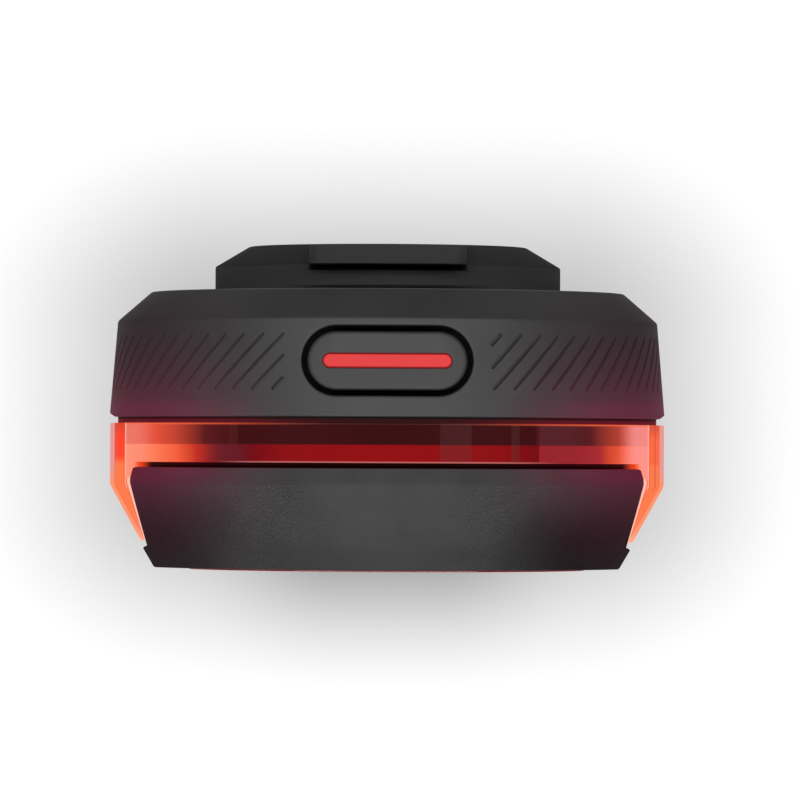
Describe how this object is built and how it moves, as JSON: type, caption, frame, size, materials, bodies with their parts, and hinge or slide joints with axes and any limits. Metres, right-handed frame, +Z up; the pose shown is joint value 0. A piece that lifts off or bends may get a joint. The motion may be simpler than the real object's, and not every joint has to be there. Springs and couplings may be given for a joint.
{
  "type": "bicycle radar tail light",
  "caption": "Capsule-shaped bicycle tail light with a rear radar, side lenses, a top button with a light bar and a quarter-turn mount.",
  "frame": {"origin": "centre of the quarter-turn mount's flat back face, level with the middle of the body", "axes": "+Z up along the body's long axis, +Y out of the mount towards the bicycle, +X to the side, so the lens and radar face -Y"},
  "size_m": [0.04, 0.0239, 0.096],
  "materials": {
    "housing_black": "fine satin moulding",
    "cover_black": "fine leather grain",
    "hub_black": "satin moulding",
    "lens_red": "clear tinted moulding",
    "window_smoke": "polished smoked panel",
    "mask_black": "printed film",
    "seal_black": "soft elastomer",
    "button_black": "fine satin moulding",
    "bar_red": "lit translucent bar",
    "chip_black": "moulded package",
    "plunger_white": "moulded",
    "board_green": "solder mask",
    "led_red": "light package",
    "frame_grey": "moulded",
    "foam_grey": "closed-cell foam",
    "battery_silver": "laminate pouch",
    "flex_amber": "polyimide film",
    "steel": "stamped or turned steel",
    "flap_rubber": "soft matt rubber",
    "optic_clear": "polished optic",
    "copper": "plated copper"
  },
  "bodies": {
    "light_body": {"antenna_array": "copper", "battery_cell": "battery_silver", "battery_flex": "flex_amber", "battery_pad": "foam_grey", "board_connector": "chip_black", "button_board": "board_green", "button_seal": "seal_black", "front_cover": "cover_black", "front_led_lower_1": "led_red", "front_led_lower_2": "led_red", "front_led_lower_3": "led_red", "front_led_upper_1": "led_red", "front_led_upper_2": "led_red", "front_led_upper_3": "led_red", "front_optic_lower": "optic_clear", "front_optic_upper": "optic_clear", "front_seal": "seal_black", "front_window": "window_smoke", "hub_screw_1": "steel", "hub_screw_2": "steel", "inner_frame": "frame_grey", "main_board": "board_green", "quarter_turn_hub": "hub_black", "radar_board": "board_green", "radar_chip": "chip_black", "radar_mask": "mask_black", "radar_spacer_left": "steel", "radar_spacer_right": "steel", "rear_housing": "housing_black", "rear_seal": "seal_black", "side_led_left_1": "led_red", "side_led_left_2": "led_red", "side_led_left_3": "led_red", "side_led_left_4": "led_red", "side_led_right_1": "led_red", "side_led_right_2": "led_red", "side_led_right_3": "led_red", "side_led_right_4": "led_red", "side_lens": "lens_red", "status_led": "led_red", "tact_switch": "chip_black", "usb_hinge_pin": "steel", "usb_port_seal": "seal_black", "usb_port_shell": "steel", "usb_port_tongue": "chip_black"},
    "button": {"button_cap": "button_black", "button_light_pipe": "bar_red", "switch_plunger": "plunger_white"},
    "port_flap": {"usb_cover": "flap_rubber"}
  },
  "joints": [
    {"name": "button_press", "type": "slide", "parent": "light_body", "child": "button", "axis": [0, 0, -1], "range_m": [0, 0.0005], "stiffness_N_per_m": 3000},
    {"name": "port_flap_hinge", "type": "hinge", "parent": "light_body", "child": "port_flap", "pos_m": [0, -0.0052, -0.0269], "axis": [1, 0, 0], "range_deg": [0, 100]}
  ]
}
